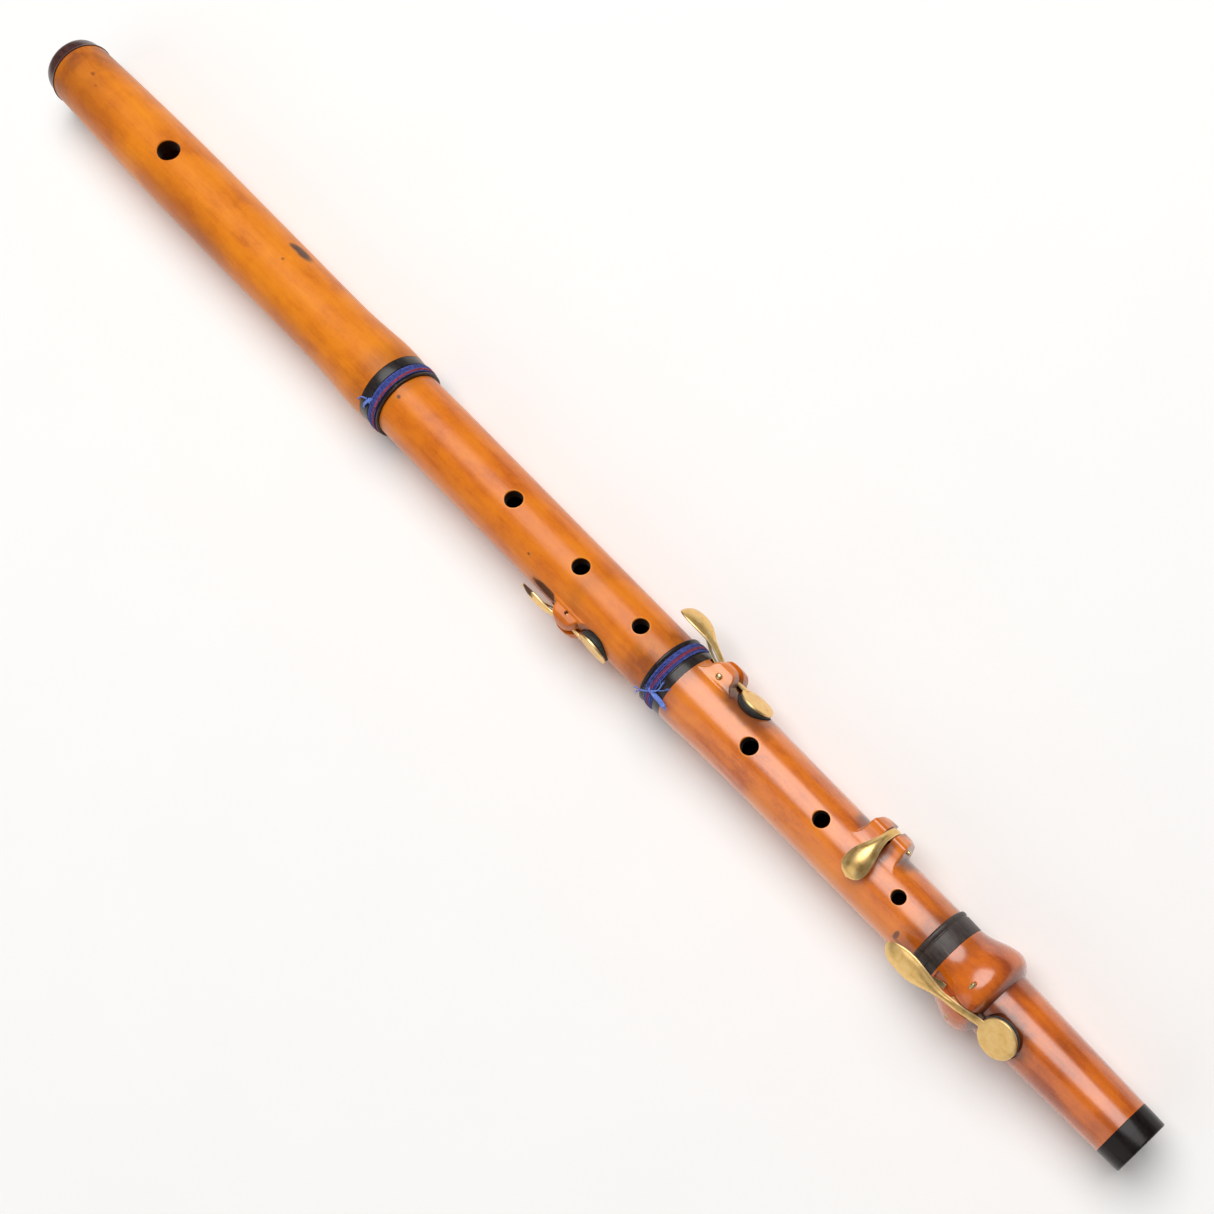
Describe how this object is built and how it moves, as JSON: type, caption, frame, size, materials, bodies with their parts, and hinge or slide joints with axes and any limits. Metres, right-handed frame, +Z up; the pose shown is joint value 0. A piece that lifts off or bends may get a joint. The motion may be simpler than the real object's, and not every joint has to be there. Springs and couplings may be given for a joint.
{
  "type": "keyed transverse flute",
  "caption": "Turned boxwood transverse flute in tenoned sections with black rings, sprung brass keys on carved wooden blocks and thread-bound sockets.",
  "frame": {"origin": "centre of the foot's end face, on the bore axis", "axes": "+X along the bore from the head out of the foot, +Z up with the finger holes facing up, +Y towards the G sharp key's side"},
  "size_m": [0.6069, 0.0394, 0.035],
  "materials": {
    "boxwood": "stained and oiled, satin",
    "brown_horn": "polished horn",
    "black_horn": "worn polish",
    "cork": "matt",
    "lapping_thread": "waxed thread",
    "binding_thread": "cotton thread",
    "key_brass": "satin, handled",
    "pin_brass": "dull",
    "spring_brass": "tarnished",
    "pad_leather": "old kid leather"
  },
  "bodies": {
    "head": {"head_joint": "boxwood", "head_socket_ring": "black_horn", "head_thread_binding": "binding_thread"},
    "cap": {"end_cap": "brown_horn"},
    "stopper": {"stopper_cork": "cork"},
    "head_tenon_sleeve": {"head_tenon_lapping": "lapping_thread"},
    "upper_middle": {"upper_middle_joint": "boxwood", "b_flat_pin": "pin_brass"},
    "b_flat_key": {"b_flat_lever": "key_brass", "b_flat_pad": "pad_leather", "b_flat_spring": "spring_brass"},
    "middle_tenon_sleeve": {"middle_tenon_lapping": "lapping_thread"},
    "lower_middle": {"lower_middle_joint": "boxwood", "lower_socket_ring": "black_horn", "lower_thread_binding": "binding_thread", "g_sharp_pin": "pin_brass", "short_f_pin": "pin_brass"},
    "g_sharp_key": {"g_sharp_lever": "key_brass", "g_sharp_pad": "pad_leather", "g_sharp_spring": "spring_brass"},
    "short_f_key": {"short_f_lever": "key_brass", "short_f_pad": "pad_leather", "short_f_spring": "spring_brass"},
    "foot_tenon_sleeve": {"foot_tenon_lapping": "lapping_thread"},
    "foot": {"foot_joint": "boxwood", "foot_socket_ring": "black_horn", "foot_end_ferrule": "black_horn", "e_flat_pin": "pin_brass"},
    "e_flat_key": {"e_flat_lever": "key_brass", "e_flat_pad": "pad_leather", "e_flat_spring": "spring_brass"}
  },
  "joints": [
    {"name": "end_cap_pull", "type": "slide", "parent": "head", "child": "cap", "axis": [-1, 0, 0], "range_m": [0, 0.006]},
    {"name": "stopper_push", "type": "slide", "parent": "head", "child": "stopper", "axis": [1, 0, 0], "range_m": [-0.04, 0.006]},
    {"name": "head_tenon_pull", "type": "slide", "parent": "head", "child": "head_tenon_sleeve", "axis": [1, 0, 0], "range_m": [0, 0.028]},
    {"name": "head_tenon_turn", "type": "hinge", "parent": "head_tenon_sleeve", "child": "upper_middle", "pos_m": [-0.3794, 0, 0], "axis": [1, 0, 0], "continuous": true},
    {"name": "middle_tenon_turn", "type": "hinge", "parent": "upper_middle", "child": "middle_tenon_sleeve", "pos_m": [-0.2074, 0, 0], "axis": [1, 0, 0], "continuous": true},
    {"name": "middle_tenon_pull", "type": "slide", "parent": "middle_tenon_sleeve", "child": "lower_middle", "axis": [1, 0, 0], "range_m": [0, 0.025]},
    {"name": "foot_tenon_turn", "type": "hinge", "parent": "lower_middle", "child": "foot_tenon_sleeve", "pos_m": [-0.0794, 0, 0], "axis": [1, 0, 0], "continuous": true},
    {"name": "foot_tenon_pull", "type": "slide", "parent": "foot_tenon_sleeve", "child": "foot", "axis": [1, 0, 0], "range_m": [0, 0.024]},
    {"name": "b_flat_key_press", "type": "hinge", "parent": "upper_middle", "child": "b_flat_key", "pos_m": [-0.255, -0.013, 0.00229], "axis": [0, -0.1736, -0.9848], "range_deg": [0, 4.5], "stiffness_Nm_per_rad": 0.03, "springref_deg": -14.32, "deforming": ["b_flat_spring"]},
    {"name": "g_sharp_key_press", "type": "hinge", "parent": "lower_middle", "child": "g_sharp_key", "pos_m": [-0.1974, 0.01265, 0.00471], "axis": [0, -0.3486, 0.9373], "range_deg": [0, 7], "stiffness_Nm_per_rad": 0.03, "springref_deg": -14.32, "deforming": ["g_sharp_spring"]},
    {"name": "short_f_key_press", "type": "hinge", "parent": "lower_middle", "child": "short_f_key", "pos_m": [-0.1185, 0.0134, 0.0076], "axis": [1, 0, 0], "range_deg": [0, 5.5], "stiffness_Nm_per_rad": 0.03, "springref_deg": -14.32, "deforming": ["short_f_spring"]},
    {"name": "e_flat_key_press", "type": "hinge", "parent": "foot", "child": "e_flat_key", "pos_m": [-0.0665, -0.00828, 0.0106], "axis": [0, -0.788, -0.6157], "range_deg": [0, 8], "stiffness_Nm_per_rad": 0.03, "springref_deg": -14.32, "deforming": ["e_flat_spring"]}
  ]
}
